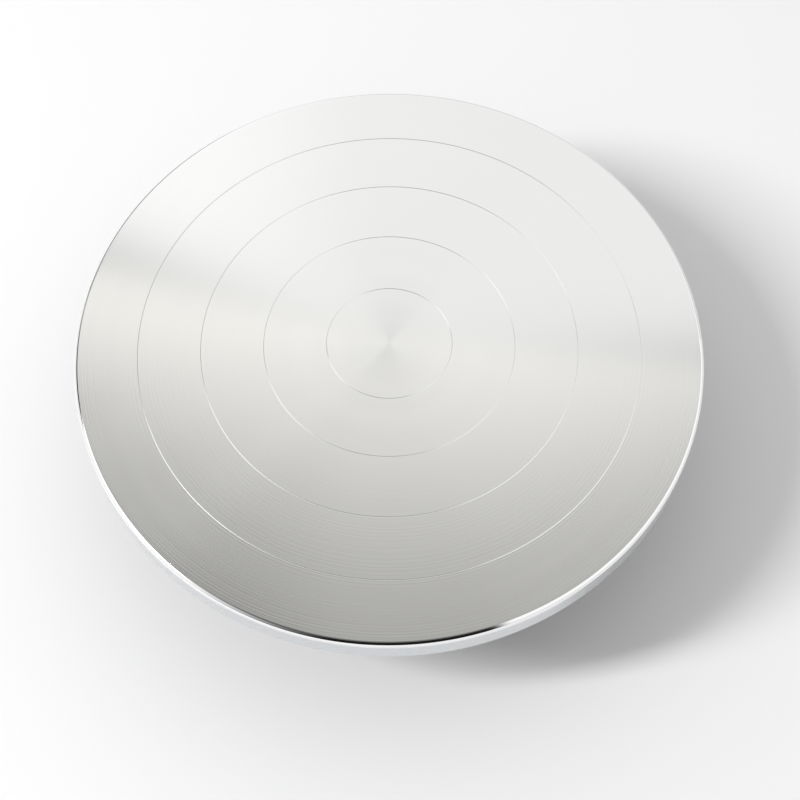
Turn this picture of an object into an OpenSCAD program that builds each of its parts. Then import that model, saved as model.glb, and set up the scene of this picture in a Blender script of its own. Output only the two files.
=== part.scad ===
// Low cake turntable. A turned aluminium plate with engraved rings spins on two shielded
// ball bearings. Their housing is screwed to a round base that stands on rubber feet.
// Millimetres, Z up. The origin is the centre of the footprint, on the worktop.

/* [Plate] */
// Diameter of the turntable plate
plate_d = 250; // [220:1:320]
// Thickness of the plate
plate_t = 13.5; // [9:0.5:16]
// Radius of the polished round on the upper rim edge
rim_round = 1.6; // [0.5:0.1:3]
// Chamfer on the lower rim edge
rim_chamfer = 0.7; // [0.4:0.1:2]
// Radial step from one engraved ring to the next
ring_pitch = 25; // [15:1:40]
// Width of an engraved ring, a shallow V
ring_w = 0.4; // [0.3:0.1:1.2]
// Least plain margin between the last ring and the rim
ring_margin = 8; // [4:1:20]

/* [Spindle] */
// Diameter of the flange that is screwed to the plate
flange_d = 60; // [56:1:80]
// Thickness of the flange
flange_t = 5; // [4:0.5:8]
// How deep the flange is let into the plate
flange_recess = 3; // [1:0.5:3.5]
// Edge distance of the flange screws
flange_screw_inset = 8; // [6:0.5:10]
// Number of flange screws
flange_screws_n = 4; // [3:1:6]
// Nominal size of the flange screws
flange_screw_d = 4; // [3:0.5:5]
// Length of the flange screws in the plate
flange_thread = 3.5; // [2:0.5:4]
// Nominal size of the bolt in the lower end of the spindle
bolt_d = 6; // [5:0.5:7]
// Length of the bolt in the spindle
bolt_thread = 14; // [8:1:18]
// Thickness of the end washer
end_washer_t = 2; // [1.5:0.1:3]
// Space between the end of the spindle and the end washer
end_play = 0.3; // [0.1:0.05:0.6]
// Thickness of the split lock washer
lock_washer_t = 1.6; // [1:0.1:2]
// Radial width of the lock washer
lock_washer_w = 2.75; // [2:0.05:3]
// Width of the lock washer's split
lock_washer_split = 1.5; // [0.5:0.1:2.5]

/* [Bearings] */
// Bore of the upper bearing
upper_bore = 20; // [18:0.5:22]
// Outside diameter of the upper bearing
upper_od = 42; // [40:0.5:46]
// Width of the upper bearing
upper_w = 12; // [10.5:0.5:14]
// Ball diameter of the upper bearing
upper_ball_d = 6.35; // [5:0.05:7.2]
// Number of balls in the upper bearing
upper_balls_n = 9; // [6:1:10]
// Bore of the lower bearing
lower_bore = 15; // [13:0.5:17]
// Outside diameter of the lower bearing
lower_od = 32; // [30:0.5:35]
// Width of the lower bearing
lower_w = 9; // [8:0.5:11]
// Ball diameter of the lower bearing
lower_ball_d = 4.76; // [3.8:0.02:5.4]
// Number of balls in the lower bearing
lower_balls_n = 9; // [6:1:10]
// Chamfer on the seat edges of the races and the spindle
race_chamfer = 0.5; // [0.2:0.1:0.8]
// Thickness of the bearing shields
shield_t = 0.4; // [0.3:0.05:0.6]
// Depth of a shield below the bearing's face
shield_inset = 0.25; // [0.1:0.05:0.4]
// Wall of a cage above and below its balls
cage_wall = 0.7; // [0.4:0.05:0.9]

/* [Housing] */
// Wall of the housing around the upper bearing
housing_wall = 9; // [8:0.5:14]
// Width of the housing's foot flange
foot_flange_w = 16; // [14:0.5:22]
// Thickness of the housing's foot flange
foot_flange_t = 5; // [4:0.5:8]
// Radius of the cove between the housing and its foot flange
cove_r = 12; // [2:0.5:14]
// Bevel on the housing's upper edges
housing_bevel = 1; // [0.3:0.1:1.5]
// Height of the web between the two bearings
web_t = 20.5; // [2:0.5:40]
// Depth of the relief in the web, under the upper inner race
web_relief = 1; // [0.5:0.1:1.5]
// Thickness of the retaining ring above the upper bearing
retaining_ring_t = 1.75; // [1.2:0.05:2.2]
// Radial width of the retaining ring
retaining_ring_w = 3.6; // [3:0.1:4.5]
// Angle of the retaining ring's gap, from eye to eye
retaining_gap = 40; // [30:1:60]
// Radius of the retaining ring's eyes
eye_r = 2.4; // [1.8:0.1:2.6]
// Diameter of the holes in the eyes
eye_hole_d = 2.2; // [1.5:0.1:2.5]
// Depth of the retaining ring's groove
groove_depth = 1.25; // [0.8:0.05:1.6]
// Space above the retaining ring in its groove
groove_play = 0.1; // [0.05:0.05:0.3]
// Lip of the housing above the retaining ring's groove
housing_lip = 1.15; // [0.8:0.05:3]
// Radial width of the felt dust seal
seal_w = 3; // [2:0.1:4]
// Depth of the dust seal's groove
seal_depth = 2; // [1:0.1:3]

/* [Base] */
// Diameter of the base
base_d = 180; // [160:1:220]
// Thickness of the base under the housing
base_t = 9; // [8.5:0.5:14]
// Thickness of the base at its rim
base_edge_t = 6; // [5:0.5:7]
// Flat land of the base around the housing's foot flange
base_land = 2; // [0.5:0.5:6]
// Radius of the round on the base's upper edge
base_round = 2; // [0.5:0.1:3]
// Chamfer on the base's lower edge
base_chamfer = 0.8; // [0.3:0.1:1.5]
// Height of the register that enters the housing and holds the lower bearing up
register_h = 1.5; // [1:0.1:3]
// Wall of the register
register_wall = 3; // [2:0.1:4]
// Nominal size of the housing screws
housing_screw_d = 5; // [4:0.5:6]
// Number of housing screws
housing_screws_n = 4; // [3:1:6]
// Floor left above the housing screws in the foot flange
housing_screw_floor = 1; // [0.5:0.1:1.5]
// Thickness of the cap's face
cap_t = 1.4; // [1:0.1:1.8]
// Width of the cap's lip around the hole
cap_lip = 2; // [1:0.1:3]
// Height of the cap's skirt
cap_skirt = 3; // [2:0.1:3.5]
// Wall of the cap's skirt
cap_wall = 1.4; // [0.8:0.1:2]

/* [Feet] */
// Diameter of a rubber foot
foot_d = 18; // [15:0.5:22]
// How far a foot stands out below the base
foot_proud = 2.5; // [2:0.1:5]
// How deep a foot is let into the base
foot_recess = 2; // [1.5:0.1:2.5]
// Distance from the base's rim to the middle of a foot
foot_inset = 15; // [13:0.5:20]
// Number of feet
feet_n = 4; // [3:1:6]
// Direction of the first foot
feet_start = 45; // [0:5:90]
// Radius of the round on a foot's lower edge
foot_round = 1; // [0.3:0.1:1.5]
// Rubber between the head of a foot screw and the base
foot_web = 1.8; // [1:0.1:2]
// Nominal size of the foot screws
foot_screw_d = 4; // [3:0.5:4]
// Length of the foot screws in the base
foot_thread = 3; // [2:0.1:3]

/* [Fits] */
// Radial clearance of a pressed or located seat
seat_fit = 0.03; // [0.01:0.01:0.06]
// Clearance between a screw and its hole, and around a foot or the cap in its recess
screw_fit = 0.1; // [0.05:0.01:0.2]
// Clearance all round a ball in its grooves
ball_fit = 0.05; // [0.02:0.01:0.08]
// Clearance all round a ball in its cage pocket
pocket_fit = 0.12; // [0.08:0.01:0.2]
// Running gap between parts that turn past each other
running_gap = 0.5; // [0.3:0.05:1]
// Running gap between the dust seal and the flange
seal_gap = 0.2; // [0.1:0.05:0.25]

/* [Hidden] */
$fn = 128;

// Cutting tools overshoot the face that they open by this much
over = 0.5;

// Colours as the object shows them
bright_aluminium = "#dfe1e3";
satin_aluminium = "#c9ccd0";
ground_steel = "#b7babf";
zinc_steel = "#a9adb3";
black_rubber = "#1d1d1f";
black_plastic = "#26272a";
cage_plastic = "#c8a45c";
grey_felt = "#77746f";

// Screw proportions of the metric series, as shares of the nominal size
countersunk_head = 2;
cap_head = 5 / 3;
cap_head_height = 2 / 3;
pan_head = 1.9;
pan_head_height = 0.5;
socket_width = 0.72;
screw_chamfer = 0.1;
// Depth of a hexagon socket, as a share of the head's height
socket_depth = 0.6;
// Straight rim of a countersunk head
countersunk_rim = 0.3;

// Bearing proportions, as shares of the ball radius: from the pitch circle to the lands
// of the races, and half the width of the cage
land_share = 0.6;
cage_share = 0.3;

// Heights, stacked from the worktop up
base_z = foot_proud;
base_top = base_z + base_t;
lower_z = base_top + register_h;
web_z = lower_z + lower_w;
upper_z = web_z + web_t;
upper_top = upper_z + upper_w;
groove_top = upper_top + retaining_ring_t + groove_play;
housing_top = groove_top + housing_lip;
flange_z = housing_top + running_gap;
plate_z = flange_z + flange_t - flange_recess;
plate_top = plate_z + plate_t;

// Radii of the bearings
upper_pitch_r = (upper_bore + upper_od) / 4;
lower_pitch_r = (lower_bore + lower_od) / 4;
upper_inner_land = upper_pitch_r - land_share * upper_ball_d / 2;
lower_inner_land = lower_pitch_r - land_share * lower_ball_d / 2;

// Plate and spindle
rings_n = floor((plate_d / 2 - ring_margin) / ring_pitch);
ring_depth = ring_w / 5;
collar_r = upper_inner_land - running_gap;
upper_seat_r = upper_bore / 2 - seat_fit;
lower_seat_r = lower_bore / 2 - seat_fit;
spindle_z = lower_z + end_play;
flange_screw_r = flange_d / 2 - flange_screw_inset;
bolt_head_h = cap_head_height * bolt_d;
lock_washer_z = lower_z - end_washer_t - lock_washer_t;
bolt_z = lock_washer_z - bolt_head_h;
bolt_hole_r = bolt_d / 2 + screw_fit;

// Housing
housing_r = upper_od / 2 + housing_wall;
foot_flange_r = housing_r + foot_flange_w;
foot_flange_z = base_top + foot_flange_t;
housing_screw_r = housing_r + foot_flange_w / 2;
housing_thread = foot_flange_t - housing_screw_floor;
groove_r = upper_od / 2 + groove_depth;
seal_r = (groove_r + housing_r) / 2;
seal_z = housing_top - seal_depth;
upper_web_r = upper_inner_land + running_gap;
lower_web_r = max(lower_inner_land, upper_bore / 2) + running_gap;

// Base and feet
base_r = base_d / 2;
base_edge_z = base_z + base_edge_t;
base_flat_r = foot_flange_r + base_land;
base_hole_r = lower_od / 2 - register_wall;
cap_r = base_hole_r + cap_lip;
foot_r = base_r - foot_inset;
foot_h = foot_proud + foot_recess;
foot_head_r = pan_head * foot_screw_d / 2;
foot_head_h = pan_head_height * foot_screw_d;
foot_head_top = foot_h - foot_web;

// Sections and cutters, drawn in the half plane that is turned about Z

module section(r0, r1, z0, z1) {
    translate([r0, z0]) square([r1 - r0, z1 - z0]);
}

// What a round of radius r takes off the corner at (x, z) that points along (sx, sz)
module round_cut(x, z, r, sx, sz) {
    translate([x - sx * r, z - sz * r])
        difference() {
            translate([sx > 0 ? 0 : -r - over, sz > 0 ? 0 : -r - over]) square(r + over);
            circle(r);
        }
}

// What a 45 degree chamfer of leg c takes off the corner at (x, z) that points along (sx, sz)
module chamfer_cut(x, z, c, sx, sz) {
    polygon([
        [x - sx * (c + over), z + sz * over],
        [x + sx * over, z - sz * (c + over)],
        [x + sx * over, z + sz * over]
    ]);
}

// Copies the children n times about Z, at radius r
module around(n, r, start = 0) {
    for (i = [0 : n - 1]) rotate(start + i * 360 / n) translate([r, 0, 0]) children();
}

// Hexagon socket of a screw of size d, cut upwards into its head from z = 0
module hexagon_socket(d, head_h) {
    translate([0, 0, -over]) cylinder(h = over + socket_depth * head_h, d = socket_width * d, $fn = 6);
}

// Countersunk screw with a hexagon socket, its head down at z = 0
module countersunk_screw(d, length) {
    head_r = countersunk_head * d / 2;
    head_h = countersunk_rim + head_r - d / 2;
    tip = screw_chamfer * d;
    difference() {
        rotate_extrude()
            polygon([
                [0, 0], [head_r, 0], [head_r, countersunk_rim], [d / 2, head_h],
                [d / 2, length - tip], [d / 2 - tip, length], [0, length]
            ]);
        hexagon_socket(d, head_h);
    }
}

// Hole for that screw: a countersink below and a plain bore of the given height
module countersunk_hole(d, height) {
    head_r = countersunk_head * d / 2 + screw_fit;
    shank_r = d / 2 + screw_fit;
    rotate_extrude()
        polygon([
            [0, -over], [head_r, -over], [head_r, countersunk_rim],
            [shank_r, countersunk_rim + head_r - shank_r], [shank_r, height], [0, height]
        ]);
}

// Turning group: plate, spindle and what is clamped to it

module turntable_plate() {
    color(bright_aluminium)
        difference() {
            rotate_extrude()
                difference() {
                    section(0, plate_d / 2, plate_z, plate_top);
                    round_cut(plate_d / 2, plate_top, rim_round, 1, 1);
                    chamfer_cut(plate_d / 2, plate_z, rim_chamfer, 1, -1);
                    for (i = [1 : rings_n])
                        translate([i * ring_pitch, plate_top])
                            polygon([[-ring_w / 2, 0], [0, -ring_depth], [ring_w / 2, 0], [0, ring_depth]]);
                    section(0, flange_d / 2 + seat_fit, plate_z - over, plate_z + flange_recess);
                }
            around(flange_screws_n, flange_screw_r)
                translate([0, 0, flange_z])
                    cylinder(h = flange_t + flange_thread + screw_fit, r = flange_screw_d / 2 + screw_fit);
        }
}

module spindle() {
    color(ground_steel)
        difference() {
            rotate_extrude()
                difference() {
                    union() {
                        section(0, flange_d / 2, flange_z, flange_z + flange_t);
                        section(0, collar_r, upper_top, flange_z);
                        section(0, upper_seat_r, web_z, upper_top);
                        section(0, lower_seat_r, spindle_z, web_z);
                    }
                    chamfer_cut(flange_d / 2, flange_z, race_chamfer, 1, -1);
                    chamfer_cut(lower_seat_r, spindle_z, race_chamfer, 1, -1);
                }
            translate([0, 0, lower_z]) cylinder(h = bolt_thread + bolt_d / 2, r = bolt_hole_r);
            around(flange_screws_n, flange_screw_r)
                translate([0, 0, flange_z]) countersunk_hole(flange_screw_d, flange_t + over);
        }
}

module flange_screws() {
    color(zinc_steel)
        around(flange_screws_n, flange_screw_r)
            translate([0, 0, flange_z]) countersunk_screw(flange_screw_d, flange_t + flange_thread);
}

module end_washer() {
    color(zinc_steel)
        rotate_extrude() section(bolt_hole_r, lower_inner_land, lower_z - end_washer_t, lower_z);
}

module lock_washer() {
    washer_r = bolt_hole_r + lock_washer_w;
    color(zinc_steel)
        translate([0, 0, lock_washer_z])
            difference() {
                rotate_extrude() section(bolt_hole_r, washer_r, 0, lock_washer_t);
                translate([0, -lock_washer_split / 2, -over])
                    cube([washer_r + over, lock_washer_split, lock_washer_t + 2 * over]);
            }
}

// Cap screw that clamps the lower inner race, its head down
module spindle_bolt() {
    head_r = cap_head * bolt_d / 2;
    bolt_top = lower_z + bolt_thread;
    chamfer = screw_chamfer * bolt_d;
    color(zinc_steel)
        difference() {
            rotate_extrude()
                difference() {
                    union() {
                        section(0, head_r, bolt_z, bolt_z + bolt_head_h);
                        section(0, bolt_d / 2, bolt_z, bolt_top);
                    }
                    chamfer_cut(head_r, bolt_z, chamfer, 1, -1);
                    chamfer_cut(bolt_d / 2, bolt_top, chamfer, 1, 1);
                }
            translate([0, 0, bolt_z]) hexagon_socket(bolt_d, bolt_head_h);
        }
}

// Ball bearings

module inner_race(bore, pitch_r, ball_d, w, z) {
    land_r = pitch_r - land_share * ball_d / 2;
    rotate_extrude()
        difference() {
            section(bore / 2, land_r, z, z + w);
            translate([pitch_r, z + w / 2]) circle(ball_d / 2 + ball_fit);
            chamfer_cut(bore / 2, z, race_chamfer, -1, -1);
            chamfer_cut(bore / 2, z + w, race_chamfer, -1, 1);
        }
}

module outer_race(od, pitch_r, ball_d, w, z) {
    land_r = pitch_r + land_share * ball_d / 2;
    rotate_extrude()
        difference() {
            section(land_r, od / 2, z, z + w);
            translate([pitch_r, z + w / 2]) circle(ball_d / 2 + ball_fit);
            chamfer_cut(od / 2, z, race_chamfer, 1, -1);
            chamfer_cut(od / 2, z + w, race_chamfer, 1, 1);
        }
}

module shields(pitch_r, ball_d, w, z) {
    inner_r = pitch_r - land_share * ball_d / 2 + running_gap;
    outer_r = pitch_r + land_share * ball_d / 2 - seat_fit;
    for (shield_z = [z + shield_inset, z + w - shield_inset - shield_t])
        rotate_extrude() section(inner_r, outer_r, shield_z, shield_z + shield_t);
}

module balls(n, pitch_r, ball_d, w, z) {
    around(n, pitch_r) translate([0, 0, z + w / 2]) sphere(d = ball_d);
}

module cage(n, pitch_r, ball_d, w, z) {
    pocket_r = ball_d / 2 + pocket_fit;
    half_h = pocket_r + cage_wall;
    half_w = cage_share * ball_d / 2;
    difference() {
        translate([0, 0, z + w / 2])
            rotate_extrude() section(pitch_r - half_w, pitch_r + half_w, -half_h, half_h);
        around(n, pitch_r) translate([0, 0, z + w / 2]) sphere(r = pocket_r);
    }
}

module upper_inner_race() {
    color(ground_steel) inner_race(upper_bore, upper_pitch_r, upper_ball_d, upper_w, upper_z);
}

module upper_outer_race() {
    color(ground_steel) outer_race(upper_od, upper_pitch_r, upper_ball_d, upper_w, upper_z);
}

module upper_shields() {
    color(zinc_steel) shields(upper_pitch_r, upper_ball_d, upper_w, upper_z);
}

module upper_balls() {
    color(ground_steel) balls(upper_balls_n, upper_pitch_r, upper_ball_d, upper_w, upper_z);
}

module upper_cage() {
    color(cage_plastic) cage(upper_balls_n, upper_pitch_r, upper_ball_d, upper_w, upper_z);
}

module lower_inner_race() {
    color(ground_steel) inner_race(lower_bore, lower_pitch_r, lower_ball_d, lower_w, lower_z);
}

module lower_outer_race() {
    color(ground_steel) outer_race(lower_od, lower_pitch_r, lower_ball_d, lower_w, lower_z);
}

module lower_shields() {
    color(zinc_steel) shields(lower_pitch_r, lower_ball_d, lower_w, lower_z);
}

module lower_balls() {
    color(ground_steel) balls(lower_balls_n, lower_pitch_r, lower_ball_d, lower_w, lower_z);
}

module lower_cage() {
    color(cage_plastic) cage(lower_balls_n, lower_pitch_r, lower_ball_d, lower_w, lower_z);
}

// Standing group: housing, base and feet

module bearing_housing() {
    color(satin_aluminium)
        difference() {
            rotate_extrude()
                difference() {
                    union() {
                        section(0, housing_r, base_top, housing_top);
                        section(0, foot_flange_r, base_top, foot_flange_z);
                        translate([housing_r, foot_flange_z])
                            difference() {
                                square(cove_r);
                                translate([cove_r, cove_r]) circle(cove_r);
                            }
                    }
                    section(0, lower_od / 2 + seat_fit, base_top - over, web_z);
                    section(0, lower_web_r, web_z - over, upper_z);
                    section(0, upper_web_r, upper_z - web_relief, upper_z + over);
                    section(0, upper_od / 2 + seat_fit, upper_z, housing_top + over);
                    section(0, groove_r, upper_top, groove_top);
                    section(seal_r - seal_w / 2, seal_r + seal_w / 2, seal_z, housing_top + over);
                    chamfer_cut(housing_r, housing_top, housing_bevel, 1, 1);
                    chamfer_cut(foot_flange_r, foot_flange_z, housing_bevel, 1, 1);
                }
            around(housing_screws_n, housing_screw_r)
                translate([0, 0, base_top - over])
                    cylinder(h = over + housing_thread, r = housing_screw_d / 2 + screw_fit);
        }
}

// Internal retaining ring with two eyes beside its gap
module retaining_ring() {
    ring_r = groove_r - seat_fit;
    inner_r = ring_r - retaining_ring_w;
    eye_centre_r = inner_r + eye_r / 2;
    color(zinc_steel)
        translate([0, 0, upper_top])
            difference() {
                union() {
                    rotate(retaining_gap / 2)
                        rotate_extrude(angle = 360 - retaining_gap)
                            section(inner_r, ring_r, 0, retaining_ring_t);
                    for (side = [-1, 1])
                        rotate(side * retaining_gap / 2)
                            translate([eye_centre_r, 0, 0]) cylinder(h = retaining_ring_t, r = eye_r);
                }
                for (side = [-1, 1])
                    rotate(side * retaining_gap / 2)
                        translate([eye_centre_r, 0, -over])
                            cylinder(h = retaining_ring_t + 2 * over, d = eye_hole_d);
            }
}

module dust_seal() {
    half_w = seal_w / 2 - seat_fit;
    color(grey_felt)
        rotate_extrude() section(seal_r - half_w, seal_r + half_w, seal_z, flange_z - seal_gap);
}

module base_plate() {
    color(satin_aluminium)
        difference() {
            rotate_extrude()
                difference() {
                    union() {
                        polygon([
                            [0, base_z], [base_r, base_z], [base_r, base_edge_z],
                            [base_flat_r, base_top], [0, base_top]
                        ]);
                        section(0, lower_od / 2 - seat_fit, base_top - over, lower_z);
                    }
                    section(0, base_hole_r, base_z - over, lower_z + over);
                    section(0, cap_r + screw_fit, base_z - over, base_z + cap_t);
                    round_cut(base_r, base_edge_z, base_round, 1, 1);
                    chamfer_cut(base_r, base_z, base_chamfer, 1, -1);
                }
            around(housing_screws_n, housing_screw_r)
                translate([0, 0, base_z]) countersunk_hole(housing_screw_d, base_t + over);
            around(feet_n, foot_r, feet_start) {
                translate([0, 0, base_z - over]) cylinder(h = over + foot_recess, r = foot_d / 2 + screw_fit);
                translate([0, 0, base_z])
                    cylinder(h = foot_recess + foot_thread + screw_fit, r = foot_screw_d / 2 + screw_fit);
            }
        }
}

module housing_screws() {
    color(zinc_steel)
        around(housing_screws_n, housing_screw_r)
            translate([0, 0, base_z]) countersunk_screw(housing_screw_d, base_t + housing_thread - screw_fit);
}

// Push-in cap that closes the base's middle hole
module bottom_cap() {
    skirt_r = base_hole_r - screw_fit;
    color(black_plastic)
        rotate_extrude() {
            section(0, cap_r, base_z, base_z + cap_t);
            section(skirt_r - cap_wall, skirt_r, base_z, base_z + cap_t + cap_skirt);
        }
}

module rubber_foot(i) {
    color(black_rubber)
        rotate(feet_start + (i - 1) * 360 / feet_n)
            translate([foot_r, 0, 0])
                rotate_extrude()
                    difference() {
                        section(foot_screw_d / 2 + screw_fit, foot_d / 2, 0, foot_h);
                        section(0, foot_head_r + screw_fit, -over, foot_head_top);
                        round_cut(foot_d / 2, 0, foot_round, 1, -1);
                    }
}

// Pan head screws, each up inside its foot
module foot_screws() {
    head_z = foot_head_top - foot_head_h;
    color(zinc_steel)
        around(feet_n, foot_r, feet_start)
            difference() {
                rotate_extrude()
                    difference() {
                        union() {
                            section(0, foot_head_r, head_z, foot_head_top);
                            section(0, foot_screw_d / 2, head_z, foot_h + foot_thread);
                        }
                        round_cut(foot_head_r, head_z, foot_head_h / 2, 1, -1);
                    }
                translate([0, 0, head_z]) hexagon_socket(foot_screw_d, foot_head_h);
            }
}

turntable_plate();
spindle();
flange_screws();
upper_inner_race();
lower_inner_race();
end_washer();
lock_washer();
spindle_bolt();
upper_balls();
upper_cage();
lower_balls();
lower_cage();
bearing_housing();
upper_outer_race();
upper_shields();
retaining_ring();
dust_seal();
lower_outer_race();
lower_shields();
base_plate();
housing_screws();
bottom_cap();
foot_screws();
for (i = [1 : feet_n])
    rubber_foot(i);
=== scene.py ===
"""Looks of a low cake turntable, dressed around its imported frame. Metres, Z up."""
import math

import bpy
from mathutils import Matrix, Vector


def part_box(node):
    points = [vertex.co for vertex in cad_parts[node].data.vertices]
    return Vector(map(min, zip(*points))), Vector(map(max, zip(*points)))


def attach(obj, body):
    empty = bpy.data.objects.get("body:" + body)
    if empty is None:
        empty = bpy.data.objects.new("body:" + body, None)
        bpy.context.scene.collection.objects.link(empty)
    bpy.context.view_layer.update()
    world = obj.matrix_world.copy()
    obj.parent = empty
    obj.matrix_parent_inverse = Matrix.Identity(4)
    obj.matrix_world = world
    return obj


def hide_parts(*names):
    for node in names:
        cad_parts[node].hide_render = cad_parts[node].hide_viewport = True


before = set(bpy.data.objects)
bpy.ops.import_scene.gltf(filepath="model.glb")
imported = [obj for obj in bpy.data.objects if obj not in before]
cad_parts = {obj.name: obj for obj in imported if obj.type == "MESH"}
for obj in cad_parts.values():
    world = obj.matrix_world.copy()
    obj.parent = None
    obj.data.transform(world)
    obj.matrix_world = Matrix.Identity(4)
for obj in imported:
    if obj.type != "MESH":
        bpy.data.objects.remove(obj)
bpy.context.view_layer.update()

MM = 0.001

# Sizes of the plate, from the frame
plate_low, plate_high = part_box("turntable_plate")
spindle_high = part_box("spindle")[1]
PLATE_R = plate_high.x
PLATE_TOP = plate_high.z
PLATE_UNDER = plate_low.z
FLANGE_R = spindle_high.x
FLANGE_TOP = spindle_high.z
SEAT_FIT = 0.03 * MM
RIM_ROUND = 1.6 * MM
RIM_POLISH = 1.4 * MM
RIM_CHAMFER = 0.7 * MM

# Facing cut on the plate's top: rougher in the middle, deeper marks outside
MIDDLE_R = 0.25 * PLATE_R
MIDDLE_ROUGHNESS = 1.35
OUTER_R = 0.35 * PLATE_R
INNER_MARKS = 0.2

# Engraved rings, each a shallow V
RING_COUNT = 4
RING_PITCH = PLATE_R / (RING_COUNT + 1)
GROOVE_W = 0.3 * MM
GROOVE_DEPTH = GROOVE_W / 7

# Fineness of the turned mesh. A guard point beside a curve keeps the flat next to it level
ROUND_STEPS = 16
LATHE_SEGMENTS = 480
GUARD = 0.05 * MM
SHARP_ANGLE = math.radians(10)

# Scales of the noise in the finishes, in waves per metre
CLOUD_SCALE = 35.0
DUST_SCALE = 150.0
NYLON_CLOUD_SCALE = 300.0
PATCH_SCALE = 400.0
LUMP_SCALE = 500.0
FIBRE_SCALE = 2500.0
NYLON_GRAIN_SCALE = 4000.0
METAL_GRAIN_SCALE = 6000.0

# Turned metal. A band of turning marks is as wide as this many marks
BAND_MARKS = 12.5
MARK_SHADE = 0.99
QUARTER_TURN = 0.25
EDGE_COSINES = (0.99, 0.85)
RUBBED_METAL = (0.95, 0.95, 0.95)

# Shares of a turned metal's roughness
ROUGH_BASE = 0.85
ROUGH_BANDS = 0.2
ROUGH_CLOUD = 0.1
ROUGH_RUBBED = -0.4

# Other finishes
METAL_GRAIN_DEPTH = 0.004 * MM
GRAIN_SHADE = 0.75
DUST_SHADE = 1.2
DUST_COLOUR = (0.3, 0.29, 0.28)
DUST_EDGE = (0.5, 0.75)
DUST_ROUGHNESS = 0.2
FELT_DEPTH = 0.15 * MM
FELT_DARK = (0.1, 0.097, 0.092)
FELT_MIDDLE = (0.2, 0.195, 0.185)
FELT_LIGHT = (0.34, 0.33, 0.31)
NYLON_DEEP = (0.55, 0.37, 0.12)
NYLON_PALE = (0.64, 0.45, 0.17)
NYLON_ROUGHNESS = 0.33
NYLON_MOTTLE = 0.15
NYLON_GRAIN_DEPTH = 0.01 * MM

# Camera, as seen from the middle of the plate's top
CAMERA_ELEVATION = math.radians(62.97)
CAMERA_DISTANCE = 4.76 * PLATE_R
CAMERA_RIGHT = 0.0345 * PLATE_R
CAMERA_UP = -0.183 * PLATE_R
SENSOR = 36.0
LENS = 67.28

# Floor, and the light on matt things
FLOOR_SIZE = 12.0
FLOOR_COLOUR = (0.94, 0.94, 0.94)
FLOOR_ROUGHNESS = 0.9
SKY_LIGHT = 0.6
SKY_SLOPE = 0.32
KEY_POWER = 47.0
KEY_WIDTH = 0.3
KEY_HEIGHT = 1.1
KEY_DISTANCE = 2.7
KEY_AZIMUTH = math.radians(-104)
KEY_ELEVATION = math.radians(43)

# Studio, as the metal mirrors it, by direction: x to the right, y to the far side, z up
SEAM_Y = 0.4946
SEAM_TILT = 0.151
CEILING_PEAK_X = 0.018
CEILING_BOW = -0.64
CEILING_LEFT_X = -0.04
CEILING_LEFT_Y = 0.465
CEILING_LEFT_FALL = 4.64
GAP_MIDDLE_X = 0.03
GAP_LEAST = 0.078
GAP_GROWTH = 7.7
GAP_MOST = 0.9
PANEL_MIDDLE_Y = 0.4885

# Soft edges in the studio, each from where it starts to where it is full
SEAM_EDGE = (-0.004, 0.006)
WALL_LEFT_EDGE = (0.0, -0.16)
WALL_RIGHT_EDGE = (0.0, 0.12)
GAP_EDGES = [(-0.004, 0.008), (0.035, 0.008)]
LEFT_GAP_EDGES = [(-0.28, -0.36), (-0.76, -0.68)]
ROOM_LOW_EDGE = (0.39, 0.66)
LEFT_SIDE = (0.0, -0.02)
RIGHT_SIDE = (0.0, 0.02)
LEFT_WALL_EDGE = (-0.70, -0.77)
PANEL_LOW_EDGE = (0.12, 0.42)
HORIZON_EDGE = (0.1, 0.02)
OVERHEAD_EDGE = (0.965, 0.982)

# Light levels in the studio, as shares of white. Each of the ceiling's is (height, level)
WARM_WHITE = (1.0, 0.991, 0.955)
CEILING_LEVELS = [
    (0.10, 0.012),
    (0.20, 0.157),
    (0.30, 0.494),
    (0.345, 0.383),
    (0.40, 0.69),
    (0.445, 0.853),
    (0.49, 0.982),
]
WALL_LEVEL = 0.953
WALL_LEFT_LEVEL = 1.11
WALL_RIGHT_CHANGE = -0.03
LEFT_GAP_DARKNESS = 0.55
ROOM_LOW_LEVEL = 0.7
PANEL_LOW_LEVEL = 0.72
HORIZON_LEVEL = 0.7
OVERHEAD_LEVEL = 0.18


# Node helpers

def new_material(name):
    """A material with only its shader and output, its node tree, and the shader's own node."""
    material = bpy.data.materials.new(name)
    material.use_nodes = True
    return material, material.node_tree, material.node_tree.nodes["Principled BSDF"]


def set_shader(shader, **values):
    """Sets the shader's sockets by name, with _ for a space."""
    for key, value in values.items():
        shader.inputs[key.replace("_", " ")].default_value = value


def set_input(tree, socket, operand):
    """Feeds a socket with a number or another node's output."""
    if isinstance(operand, bpy.types.NodeSocket):
        tree.links.new(operand, socket)
    else:
        socket.default_value = operand


def math_node(tree, operation, *operands):
    """The output of a Math node. Each operand is a number or another node's output."""
    made = tree.nodes.new("ShaderNodeMath")
    made.operation = operation
    for socket, operand in zip(made.inputs, operands):
        set_input(tree, socket, operand)
    return made.outputs[0]


def product(tree, first, *others):
    """The product of numbers and outputs."""
    for other in others:
        first = math_node(tree, "MULTIPLY", first, other)
    return first


def smooth_step(tree, value, low, high, at_low=0.0, at_high=1.0):
    """Runs softly from at_low, where value is low, to at_high, where it is high."""
    made = tree.nodes.new("ShaderNodeMapRange")
    made.interpolation_type = "SMOOTHSTEP"
    tree.links.new(value, made.inputs["Value"])
    for name, number in (("From Min", low), ("From Max", high), ("To Min", at_low), ("To Max", at_high)):
        made.inputs[name].default_value = number
    return made.outputs["Result"]


def inside(tree, value, edges):
    """1 within all of the edges, 0 beyond any of them."""
    return product(tree, *[smooth_step(tree, value, *edge) for edge in edges])


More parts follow.
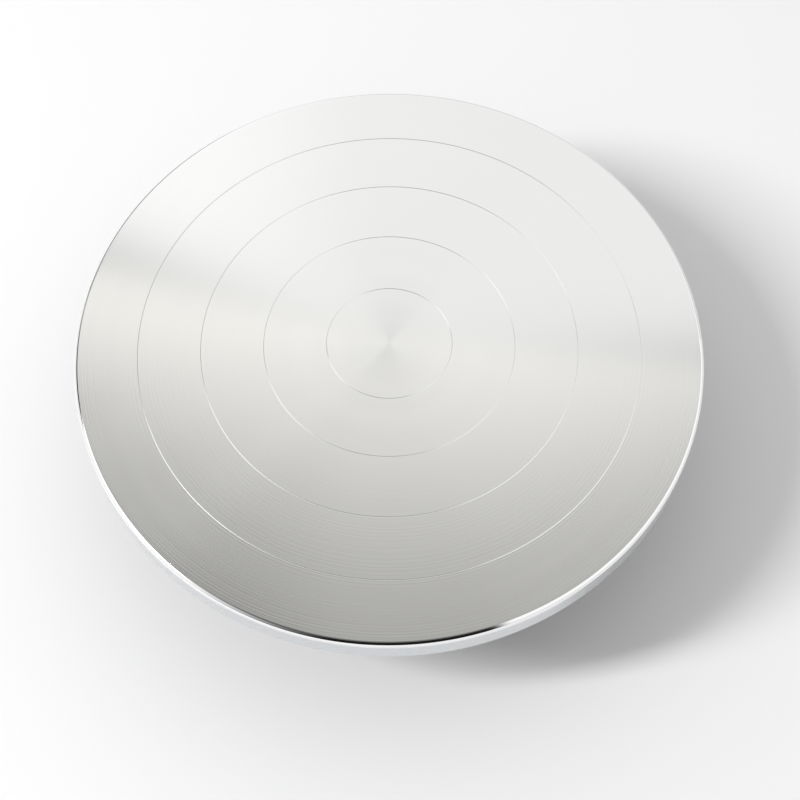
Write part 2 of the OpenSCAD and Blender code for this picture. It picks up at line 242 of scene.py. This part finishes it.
def noise(tree, scale, detail=2.0, roughness=0.5, vector=None, w=None):
    """Noise along a single coordinate w, or else in space."""
    made = tree.nodes.new("ShaderNodeTexNoise")
    made.noise_dimensions = "1D" if w else "3D"
    made.inputs["Scale"].default_value = scale
    made.inputs["Detail"].default_value = detail
    made.inputs["Roughness"].default_value = roughness
    if w:
        tree.links.new(w, made.inputs["W"])
    else:
        tree.links.new(vector, made.inputs["Vector"])
    return made.outputs["Fac"]


def ramp(tree, value, *stops):
    """A colour ramp through (position, colour) stops."""
    made = tree.nodes.new("ShaderNodeValToRGB")
    elements = made.color_ramp.elements
    while len(elements) < len(stops):
        elements.new(1.0)
    for element, (position, colour) in zip(elements, stops):
        element.position = position
        element.color = (*colour, 1.0)
    tree.links.new(value, made.inputs["Fac"])
    return made.outputs["Color"]


def two_tone(tree, value, dark, light, low=0.3, high=0.7):
    """Runs from dark to light over the middle range of a noise."""
    return ramp(tree, value, (low, dark), (high, light))


def mix_colour(tree, factor, first, second, blend="MIX"):
    """Mixes two outputs as colours, by a number or another node's output."""
    made = tree.nodes.new("ShaderNodeMix")
    made.data_type = "RGBA"
    made.blend_type = blend
    set_input(tree, made.inputs["Factor"], factor)
    tree.links.new(first, made.inputs["A"])
    tree.links.new(second, made.inputs["B"])
    return made.outputs["Result"]


def bump(tree, shader, height, distance):
    """Roughens the shader's surface by a height output, which distance scales to metres."""
    made = tree.nodes.new("ShaderNodeBump")
    made.inputs["Distance"].default_value = distance
    tree.links.new(height, made.inputs["Height"])
    tree.links.new(made.outputs["Normal"], shader.inputs["Normal"])


def object_point(tree):
    """The shaded point, in the object's own frame."""
    return tree.nodes.new("ShaderNodeTexCoord").outputs["Object"]


def split(tree, vector):
    """The x, y and z outputs of a vector."""
    made = tree.nodes.new("ShaderNodeSeparateXYZ")
    tree.links.new(vector, made.inputs[0])
    return made.outputs


def length(tree, first, second):
    """The length of the vector that two outputs make."""
    square = math_node(tree, "MULTIPLY_ADD", first, first, math_node(tree, "MULTIPLY", second, second))
    return math_node(tree, "SQRT", square)


def along_profile(tree, point):
    """Radius plus height: runs across turning marks on flats, sides and cones about the spin axis."""
    x, y, z = split(tree, point)
    return math_node(tree, "ADD", length(tree, x, y), z)


def edge_mask(tree, width):
    """About 1 along sharp edges, 0 elsewhere: compares the normal with one rounded over width."""
    rounded = tree.nodes.new("ShaderNodeBevel")
    rounded.inputs["Radius"].default_value = width
    dot = tree.nodes.new("ShaderNodeVectorMath")
    dot.operation = "DOT_PRODUCT"
    tree.links.new(rounded.outputs["Normal"], dot.inputs[0])
    tree.links.new(tree.nodes.new("ShaderNodeNewGeometry").outputs["Normal"], dot.inputs[1])
    return smooth_step(tree, dot.outputs["Value"], *EDGE_COSINES)


def shade(colour, share):
    """A darker or lighter share of a colour."""
    return tuple(c * share for c in colour)


# Materials

def turned_metal(name, colour, roughness, anisotropy, mark_pitch, mark_depth, edge=0.0, faced=False):
    """Metal with concentric turning marks about the spin axis. If edge is set, its edges are rubbed bright.
    A faced top is rougher in the middle, where the cut is slow, and its marks are deeper towards the rim."""
    material, tree, shader = new_material(name)
    point = object_point(tree)
    across = along_profile(tree, point)
    marks = noise(tree, 1.0 / mark_pitch, detail=1.0, w=across)
    bands = noise(tree, 1.0 / (BAND_MARKS * mark_pitch), detail=2.0, w=across)
    cloud = noise(tree, CLOUD_SCALE, detail=4.0, vector=point)
    tone = two_tone(tree, marks, shade(colour, MARK_SHADE), colour)
    rough = math_node(tree, "MULTIPLY_ADD", bands, ROUGH_BANDS * roughness, ROUGH_BASE * roughness)
    rough = math_node(tree, "MULTIPLY_ADD", cloud, ROUGH_CLOUD * roughness, rough)
    if faced:
        slow = smooth_step(tree, across, PLATE_TOP + MIDDLE_R, PLATE_TOP, 1.0, MIDDLE_ROUGHNESS)
        rough = math_node(tree, "MULTIPLY", rough, slow)
        fast = smooth_step(tree, across, PLATE_TOP + OUTER_R, PLATE_TOP + PLATE_R, INNER_MARKS, 1.0)
        marks = math_node(tree, "MULTIPLY", marks, fast)
    if edge:
        worn = math_node(tree, "MULTIPLY", edge_mask(tree, edge), cloud)
        tone = mix_colour(tree, worn, tone, two_tone(tree, cloud, colour, RUBBED_METAL))
        rough = math_node(tree, "MULTIPLY_ADD", worn, ROUGH_RUBBED * roughness, rough)
    tree.links.new(tone, shader.inputs["Base Color"])
    tree.links.new(rough, shader.inputs["Roughness"])
    set_shader(shader, Metallic=1.0, Anisotropic=anisotropy, Anisotropic_Rotation=QUARTER_TURN)
    tangent = tree.nodes.new("ShaderNodeTangent")
    tangent.direction_type = "RADIAL"
    tangent.axis = "Z"
    tree.links.new(tangent.outputs["Tangent"], shader.inputs["Tangent"])
    bump(tree, shader, marks, mark_depth)
    return material


def smooth_metal(name, colour, roughness, mottle):
    """Plain ground, rolled or plated metal, with mottled tone and gloss."""
    material, tree, shader = new_material(name)
    point = object_point(tree)
    patches = noise(tree, PATCH_SCALE, detail=4.0, roughness=0.65, vector=point)
    grain = noise(tree, METAL_GRAIN_SCALE, detail=2.0, vector=point)
    tone = two_tone(tree, patches, shade(colour, 1.0 - mottle), colour, low=0.35, high=0.65)
    tree.links.new(tone, shader.inputs["Base Color"])
    rough = math_node(tree, "MULTIPLY_ADD", patches, mottle, roughness - mottle / 2)
    tree.links.new(rough, shader.inputs["Roughness"])
    set_shader(shader, Metallic=1.0)
    bump(tree, shader, grain, METAL_GRAIN_DEPTH)
    return material


def moulded(name, colour, roughness, grain_size, grain_depth, dust):
    """Moulded rubber or plastic, with a fine grain and a trace of pale dust in it."""
    material, tree, shader = new_material(name)
    point = object_point(tree)
    grain = noise(tree, 1.0 / grain_size, detail=2.0, vector=point)
    patches = noise(tree, DUST_SCALE, detail=4.0, roughness=0.7, vector=point)
    clean = two_tone(tree, grain, shade(colour, GRAIN_SHADE), colour)
    dusty = two_tone(tree, grain, shade(colour, DUST_SHADE), DUST_COLOUR)
    amount = smooth_step(tree, patches, *DUST_EDGE, 0.0, dust)
    tree.links.new(mix_colour(tree, amount, clean, dusty), shader.inputs["Base Color"])
    rough = math_node(tree, "MULTIPLY_ADD", patches, DUST_ROUGHNESS, roughness - DUST_ROUGHNESS / 2)
    tree.links.new(rough, shader.inputs["Roughness"])
    bump(tree, shader, grain, grain_depth)
    return material


def felt():
    """Grey wool felt: short fibres in every direction."""
    material, tree, shader = new_material("grey_felt")
    point = object_point(tree)
    fibres = noise(tree, FIBRE_SCALE, detail=6.0, roughness=0.75, vector=point)
    lumps = noise(tree, LUMP_SCALE, detail=2.0, vector=point)
    tone = ramp(tree, fibres, (0.3, FELT_DARK), (0.5, FELT_MIDDLE), (0.7, FELT_LIGHT))
    tree.links.new(tone, shader.inputs["Base Color"])
    set_shader(shader, Roughness=0.95, Sheen_Weight=0.4, Sheen_Roughness=0.6)
    bump(tree, shader, math_node(tree, "ADD", fibres, lumps), FELT_DEPTH)
    return material


def nylon():
    """Natural nylon: pale amber, faintly cloudy, with a soft shine."""
    material, tree, shader = new_material("natural_nylon")
    point = object_point(tree)
    cloud = noise(tree, NYLON_CLOUD_SCALE, detail=3.0, vector=point)
    tone = two_tone(tree, cloud, NYLON_DEEP, NYLON_PALE, low=0.35, high=0.65)
    tree.links.new(tone, shader.inputs["Base Color"])
    rough = math_node(tree, "MULTIPLY_ADD", cloud, NYLON_MOTTLE, NYLON_ROUGHNESS)
    tree.links.new(rough, shader.inputs["Roughness"])
    bump(tree, shader, noise(tree, NYLON_GRAIN_SCALE, vector=point), NYLON_GRAIN_DEPTH)
    return material


def dress(material, *names):
    """Gives CAD nodes a finish."""
    for name in names:
        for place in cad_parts[name].material_slots:
            place.material = material


def dress_frame():
    """Gives every node but the plate its finish."""
    satin = turned_metal(
        "satin_aluminium", (0.8, 0.805, 0.81), roughness=0.36, anisotropy=0.5,
        mark_pitch=0.8 * MM, mark_depth=0.01 * MM, edge=0.5 * MM,
    )
    ground = turned_metal(
        "ground_steel", (0.62, 0.615, 0.61), roughness=0.25, anisotropy=0.6,
        mark_pitch=0.25 * MM, mark_depth=0.001 * MM, edge=0.3 * MM,
    )
    polished = turned_metal(
        "bearing_steel", (0.68, 0.675, 0.67), roughness=0.14, anisotropy=0.3,
        mark_pitch=0.2 * MM, mark_depth=0.0005 * MM,
    )
    chrome = smooth_metal("ball_steel", (0.72, 0.715, 0.71), roughness=0.1, mottle=0.05)
    pressed = smooth_metal("pressed_steel", (0.6, 0.6, 0.6), roughness=0.32, mottle=0.12)
    zinc = smooth_metal("zinc_plated_steel", (0.66, 0.68, 0.7), roughness=0.34, mottle=0.2)
    rubber = moulded(
        "black_rubber", (0.022, 0.022, 0.023), roughness=0.72,
        grain_size=0.35 * MM, grain_depth=0.04 * MM, dust=0.25,
    )
    plastic = moulded(
        "black_plastic", (0.03, 0.031, 0.033), roughness=0.45,
        grain_size=0.25 * MM, grain_depth=0.02 * MM, dust=0.1,
    )
    feet = [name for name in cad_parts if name.startswith("rubber_foot_")]
    dress(satin, "base_plate", "bearing_housing")
    dress(ground, "spindle")
    dress(polished, "upper_inner_race", "upper_outer_race", "lower_inner_race", "lower_outer_race")
    dress(chrome, "upper_balls", "lower_balls")
    dress(pressed, "upper_shields", "lower_shields")
    dress(zinc, "flange_screws", "housing_screws", "foot_screws", "spindle_bolt")
    dress(zinc, "end_washer", "lock_washer", "retaining_ring")
    dress(nylon(), "upper_cage", "lower_cage")
    dress(felt(), "dust_seal")
    dress(plastic, "bottom_cap")
    dress(rubber, *feet)


# Meshes

def place_mesh(name, vertices, faces, materials):
    """An object in the scene, with a mesh of these vertices and faces."""
    mesh = bpy.data.meshes.new(name)
    mesh.from_pydata(vertices, [], faces)
    for material in materials:
        mesh.materials.append(material)
    made = bpy.data.objects.new(name, mesh)
    bpy.context.scene.collection.objects.link(made)
    return made


def arc(centre_r, centre_z, radius, start, end, steps):
    """Points of an arc in the half plane, from angle start to angle end, in degrees."""
    angles = [math.radians(start + (end - start) * i / steps) for i in range(steps + 1)]
    return [(centre_r + radius * math.cos(a), centre_z + radius * math.sin(a)) for a in angles]


def groove(middle_r, top):
    """An engraved ring: a shallow V."""
    half = GROOVE_W / 2
    return [(middle_r - half, top), (middle_r, top - GROOVE_DEPTH), (middle_r + half, top)]


def circle(r, z):
    """The vertices that a profile point turns into: a ring, or a single one on the axis."""
    if r == 0.0:
        return [(0.0, 0.0, z)]
    angles = [2.0 * math.pi * i / LATHE_SEGMENTS for i in range(LATHE_SEGMENTS)]
    return [(r * math.cos(a), r * math.sin(a), z) for a in angles]


def lathe(name, zones):
    """Turns zones of (material, profile points) about Z. Each zone starts where the last one ended."""
    vertices, faces, kinds, starts = [], [], [], []
    finishes = list(dict.fromkeys(material for material, _ in zones))
    profile = [(zones[0][1][0], 0)]
    for material, points in zones:
        profile += [(p, finishes.index(material)) for p in points if p != profile[-1][0]]
    for point, _ in profile:
        starts.append(len(vertices))
        vertices += circle(*point)
    for k in range(1, len(profile)):
        (r0, _), _ = profile[k - 1]
        (r1, _), kind = profile[k]
        a, b = starts[k - 1], starts[k]
        for i in range(LATHE_SEGMENTS):
            j = (i + 1) % LATHE_SEGMENTS
            if r0 == 0.0:
                face = (a, b + i, b + j)
            elif r1 == 0.0:
                face = (a + i, b, a + j)
            else:
                face = (a + i, b + i, b + j, a + j)
            faces.append(face)
            kinds.append(kind)
    made = place_mesh(name, vertices, faces, finishes)
    made.data.polygons.foreach_set("material_index", kinds)
    made.data.shade_smooth()
    made.data.set_sharp_from_angle(angle=SHARP_ANGLE)
    made.data.update()
    return made


def plate_piece():
    """The turned plate: ringed top, polished round, side band, and underside with the flange's recess, its
    dark grey painted shade.
    """
    turned = turned_metal(
        "turned_plate", (0.91, 0.91, 0.905), roughness=0.12, anisotropy=0.9,
        mark_pitch=0.6 * MM, mark_depth=0.0075 * MM, faced=True,
    )
    engraved = turned_metal(
        "engraved_ring", (0.9, 0.9, 0.895), roughness=0.19, anisotropy=0.0,
        mark_pitch=0.1 * MM, mark_depth=0.0005 * MM,
    )
    polished = turned_metal(
        "polished_rim", (0.97, 0.97, 0.97), roughness=0.07, anisotropy=0.0,
        mark_pitch=0.2 * MM, mark_depth=0.0002 * MM,
    )
    side = turned_metal(
        "plate_side", (0.74, 0.76, 0.78), roughness=0.28, anisotropy=0.5,
        mark_pitch=0.6 * MM, mark_depth=0.002 * MM,
    )
    # Painted shade: the underside is dark grey so that it throws less light onto the floor beneath, deepening
    # the shadow under the plate
    painted_shade_under = turned_metal(
        "plate_under_painted_shade", (0.2, 0.2, 0.2), roughness=0.5, anisotropy=0.5,
        mark_pitch=0.6 * MM, mark_depth=0.002 * MM,
    )
    round_r = PLATE_R - RIM_ROUND
    round_z = PLATE_TOP - RIM_ROUND
    seat_r = FLANGE_R + SEAT_FIT
    zones = [(turned, [(0.0, PLATE_TOP)])]
    for i in range(1, RING_COUNT + 1):
        cut = groove(i * RING_PITCH, PLATE_TOP)
        zones += [(turned, cut[:1]), (engraved, cut)]
    zones.append((turned, [(round_r - GUARD, PLATE_TOP), (round_r, PLATE_TOP)]))
    zones.append((polished, arc(round_r, round_z, RIM_ROUND, start=90, end=0, steps=ROUND_STEPS)))
    zones.append((polished, [(PLATE_R, round_z - RIM_POLISH)]))
    zones.append((side, [(PLATE_R, PLATE_UNDER + RIM_CHAMFER)]))
    zones.append((painted_shade_under, [(PLATE_R - RIM_CHAMFER, PLATE_UNDER), (seat_r, PLATE_UNDER)]))
    zones.append((painted_shade_under, [(seat_r, FLANGE_TOP), (0.0, FLANGE_TOP)]))
    piece = lathe("plate", zones)
    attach(piece, "turntable")
    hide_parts("turntable_plate")


# Stage, light and camera

def make_floor():
    """A plain pale floor."""
    material, _, shader = new_material("floor")
    set_shader(shader, Base_Color=(*FLOOR_COLOUR, 1.0), Roughness=FLOOR_ROUGHNESS)
    half = FLOOR_SIZE / 2
    corners = [(-half, -half, 0), (half, -half, 0), (half, half, 0), (-half, half, 0)]
    made = place_mesh("floor", corners, [(0, 1, 2, 3)], [material])


def ceiling_and_wall(tree, x, y, seam):
    """The ceiling, which darkens towards the front, and beyond the seam the wall, brighter at the left."""
    from_peak = math_node(tree, "SUBTRACT", x, CEILING_PEAK_X)
    bow = math_node(tree, "MULTIPLY", from_peak, from_peak)
    left = math_node(tree, "MINIMUM", math_node(tree, "SUBTRACT", x, CEILING_LEFT_X), 0.0)
    left_fall = math_node(tree, "MULTIPLY", left, math_node(tree, "SUBTRACT", CEILING_LEFT_Y, y))
    height = math_node(tree, "MULTIPLY_ADD", left_fall, CEILING_LEFT_FALL, y)
    height = math_node(tree, "MULTIPLY_ADD", bow, CEILING_BOW, height)
    ceiling = ramp(tree, height, *[(place, shade(WARM_WHITE, level)) for place, level in CEILING_LEVELS])
    left_light = smooth_step(tree, x, *WALL_LEFT_EDGE, WALL_LEVEL, WALL_LEFT_LEVEL)
    right_change = smooth_step(tree, x, *WALL_RIGHT_EDGE, 0.0, WALL_RIGHT_CHANGE)
    wall = math_node(tree, "ADD", left_light, right_change)
    return mix_colour(tree, smooth_step(tree, seam, *SEAM_EDGE), ceiling, wall)


def lit_share(tree, x, z, seam):
    """What is left of the light in the gap along the seam, in the gap at the left, and low in the room."""
    from_middle = math_node(tree, "SUBTRACT", x, GAP_MIDDLE_X)
    square = math_node(tree, "MULTIPLY", from_middle, from_middle)
    opening = math_node(tree, "MULTIPLY_ADD", square, GAP_GROWTH, GAP_LEAST)
    opening = math_node(tree, "MINIMUM", opening, GAP_MOST)
    gap = product(tree, opening, inside(tree, seam, GAP_EDGES))
    left_gap = product(tree, LEFT_GAP_DARKNESS, inside(tree, x, LEFT_GAP_EDGES))
    lit = math_node(tree, "SUBTRACT", 1.0, math_node(tree, "MAXIMUM", gap, left_gap))
    return product(tree, lit, smooth_step(tree, z, *ROOM_LOW_EDGE, ROOM_LOW_LEVEL, 1.0))


def white_panels(tree, x, y, z):
    """White panels at the sides, and at the left a lamp with a brighter strip in it and a wall, all dimmer
    low down. There is also a soft light overhead, and a pale horizon. The panels stand around the direction
    that the plate's middle mirrors: away is the distance from it, sideways the step aside per step ahead."""
    below = math_node(tree, "SUBTRACT", PANEL_MIDDLE_Y, y)
    away = length(tree, x, below)
    sideways = math_node(tree, "DIVIDE", math_node(tree, "ABSOLUTE", x), below)

    def panel(side, level, away_edges, sideways_edges):
        """One panel on a side, of this level inside its edges."""
        extent = product(tree, inside(tree, away, away_edges), inside(tree, sideways, sideways_edges))
        return product(tree, level, smooth_step(tree, x, *side), extent)

    left_panel = panel(
        LEFT_SIDE, level=1.0,
        away_edges=[(0.74, 0.82)],
        sideways_edges=[(0.14, 0.87), (3.0, 2.65)],
    )
    left_lamp = panel(
        LEFT_SIDE, level=1.35,
        away_edges=[(0.34, 0.40), (0.82, 0.74)],
        sideways_edges=[(0.25, 1.3), (3.6, 2.9)],
    )
    left_strip = panel(
        LEFT_SIDE, level=1.9,
        away_edges=[(0.32, 0.37), (0.52, 0.46)],
        sideways_edges=[(0.95, 1.35), (4.2, 3.4)],
    )
    right_panel = panel(
        RIGHT_SIDE, level=1.0,
        away_edges=[(0.32, 0.38)],
        sideways_edges=[(0.32, 0.40)],
    )
    panels = smooth_step(tree, x, *LEFT_WALL_EDGE)
    for made in (left_panel, left_lamp, left_strip, right_panel):
        panels = math_node(tree, "MAXIMUM", panels, made)
    panels = product(tree, panels, smooth_step(tree, z, *PANEL_LOW_EDGE, PANEL_LOW_LEVEL, 1.0))
    horizon = smooth_step(tree, z, *HORIZON_EDGE, 0.0, HORIZON_LEVEL)
    overhead = smooth_step(tree, z, *OVERHEAD_EDGE, 0.0, OVERHEAD_LEVEL)
    return math_node(tree, "MAXIMUM", panels, math_node(tree, "ADD", horizon, overhead))


def make_world():
    """A white studio, as a function of direction: a far wall, a ceiling that darkens towards the front, a gap
    between the two that opens out to the left and right, and white panels at the sides. That is how it
    looks, also in the metal. On matt things its light is plain, and stronger from the far side."""
    world = bpy.data.worlds.new("studio")
    world.use_nodes = True
    tree = world.node_tree
    x, y, z = split(tree, tree.nodes.new("ShaderNodeTexCoord").outputs["Generated"])
    seam = math_node(tree, "SUBTRACT", math_node(tree, "MULTIPLY_ADD", x, SEAM_TILT, y), SEAM_Y)
    room = ceiling_and_wall(tree, x, y, seam)
    room = mix_colour(tree, 1.0, room, lit_share(tree, x, z, seam), blend="MULTIPLY")
    room = mix_colour(tree, 1.0, room, white_panels(tree, x, y, z), blend="LIGHTEN")
    path = tree.nodes.new("ShaderNodeLightPath").outputs
    seen = math_node(tree, "MAXIMUM", path["Is Camera Ray"], path["Is Glossy Ray"])
    seen = math_node(tree, "MAXIMUM", seen, path["Is Transmission Ray"])
    sky = math_node(tree, "MULTIPLY_ADD", y, SKY_SLOPE, SKY_LIGHT)
    tree.links.new(mix_colour(tree, seen, sky, room), tree.nodes["Background"].inputs["Color"])
    bpy.context.scene.world = world


def aim(made, place, target):
    """Puts a lamp or camera at a place and turns it to a target."""
    made.location = place
    made.rotation_mode = "QUATERNION"
    made.rotation_quaternion = (target - place).to_track_quat("-Z", "Y")


def make_key():
    """A tall strip of soft light on the left."""
    lamp = bpy.data.lights.new("key", "AREA")
    lamp.shape = "RECTANGLE"
    lamp.size = KEY_WIDTH
    lamp.size_y = KEY_HEIGHT
    lamp.energy = KEY_POWER
    made = bpy.data.objects.new("key", lamp)
    bpy.context.scene.collection.objects.link(made)
    level = math.cos(KEY_ELEVATION)
    way = Vector((math.sin(KEY_AZIMUTH) * level, math.cos(KEY_AZIMUTH) * level, math.sin(KEY_ELEVATION)))
    middle = Vector((0.0, 0.0, PLATE_TOP))
    aim(made, middle + way * KEY_DISTANCE, middle)
    made.visible_camera = False


def make_camera():
    """The photograph's view, from the front and above."""
    camera = bpy.data.cameras.new("camera")
    camera.sensor_width = SENSOR
    camera.lens = LENS
    made = bpy.data.objects.new("camera", camera)
    bpy.context.scene.collection.objects.link(made)
    back = Vector((0.0, -math.cos(CAMERA_ELEVATION), math.sin(CAMERA_ELEVATION)))
    right = Vector((1.0, 0.0, 0.0))
    up = back.cross(right)
    middle = Vector((0.0, 0.0, PLATE_TOP))
    place = middle + back * CAMERA_DISTANCE + right * CAMERA_RIGHT + up * CAMERA_UP
    aim(made, place, place - back)
    bpy.context.scene.camera = made


make_camera()
make_floor()
make_world()
make_key()
dress_frame()
plate_piece()

bpy.context.scene.view_settings.view_transform = "Standard"
